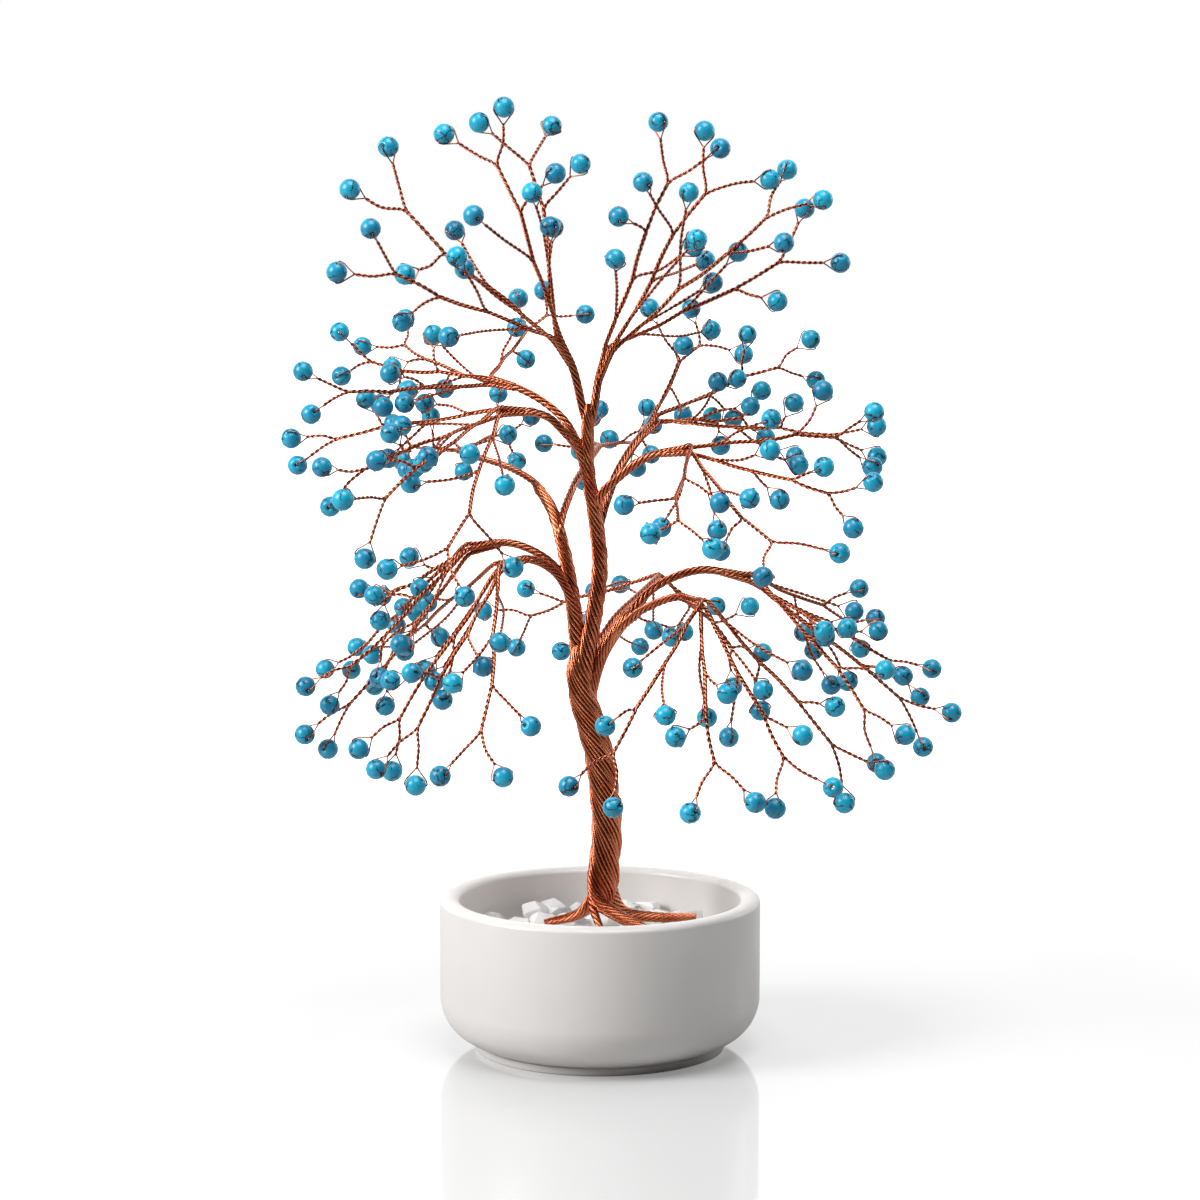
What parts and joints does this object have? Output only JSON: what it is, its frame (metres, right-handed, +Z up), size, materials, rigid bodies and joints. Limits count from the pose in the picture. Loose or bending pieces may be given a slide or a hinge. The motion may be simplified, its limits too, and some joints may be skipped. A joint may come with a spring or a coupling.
{
  "type": "wire tree sculpture",
  "caption": "Windswept wire tree with a twisted copper trunk, spreading limbs and turquoise beads at the twig tips, standing on quartz chips in a round white glazed bowl.",
  "frame": {"origin": "middle of the bowl's underside", "axes": "+Z up, -Y towards the front of the tree, +X to the right seen from the front"},
  "size_m": [0.1939, 0.163, 0.2704],
  "materials": {
    "white_glaze": "white glazed ceramic, gloss",
    "quartz_chips": "rough translucent white quartz",
    "copper_wire": "bright twisted copper wire",
    "turquoise_beads": "polished dyed stone with dark veins"
  },
  "bodies": {
    "root": {"pot": "white_glaze", "stone_bed": "quartz_chips", "trunk": "copper_wire", "crown_left_limb": "copper_wire", "crown_right_limb": "copper_wire", "mid_left_upper_limb": "copper_wire", "mid_left_lower_limb": "copper_wire", "mid_right_upper_limb": "copper_wire", "mid_right_lower_limb": "copper_wire", "low_left_upper_limb": "copper_wire", "low_left_lower_limb": "copper_wire", "low_right_upper_limb": "copper_wire", "low_right_lower_limb": "copper_wire", "mid_left_bough_limb": "copper_wire", "low_right_bough_limb": "copper_wire", "left_back_limb": "copper_wire", "mid_back_limb": "copper_wire", "low_back_limb": "copper_wire", "crown_left_spray_1": "turquoise_beads", "crown_left_spray_2": "turquoise_beads", "crown_left_spray_3": "turquoise_beads", "crown_left_spray_4": "turquoise_beads", "crown_right_spray_1": "turquoise_beads", "crown_right_spray_2": "turquoise_beads", "crown_right_spray_3": "turquoise_beads", "crown_right_spray_4": "turquoise_beads", "mid_left_upper_spray_1": "turquoise_beads", "mid_left_upper_spray_2": "turquoise_beads", "mid_left_upper_spray_3": "turquoise_beads", "mid_left_upper_spray_4": "turquoise_beads", "mid_left_lower_spray_1": "turquoise_beads", "mid_left_lower_spray_2": "turquoise_beads", "mid_left_lower_spray_3": "turquoise_beads", "mid_left_lower_spray_4": "turquoise_beads", "mid_right_upper_spray_1": "turquoise_beads", "mid_right_upper_spray_2": "turquoise_beads", "mid_right_upper_spray_3": "turquoise_beads", "mid_right_upper_spray_4": "turquoise_beads", "mid_right_lower_spray_1": "turquoise_beads", "mid_right_lower_spray_2": "turquoise_beads", "mid_right_lower_spray_3": "turquoise_beads", "mid_right_lower_spray_4": "turquoise_beads", "low_left_upper_spray_1": "turquoise_beads", "low_left_upper_spray_2": "turquoise_beads", "low_left_upper_spray_3": "turquoise_beads", "low_left_upper_spray_4": "turquoise_beads", "low_left_lower_spray_1": "turquoise_beads", "low_left_lower_spray_2": "turquoise_beads", "low_left_lower_spray_3": "turquoise_beads", "low_left_lower_spray_4": "turquoise_beads", "low_right_upper_spray_1": "turquoise_beads", "low_right_upper_spray_2": "turquoise_beads", "low_right_upper_spray_3": "turquoise_beads", "low_right_upper_spray_4": "turquoise_beads", "low_right_lower_spray_1": "turquoise_beads", "low_right_lower_spray_2": "turquoise_beads", "low_right_lower_spray_3": "turquoise_beads", "low_right_lower_spray_4": "turquoise_beads"}
  },
  "joints": []
}
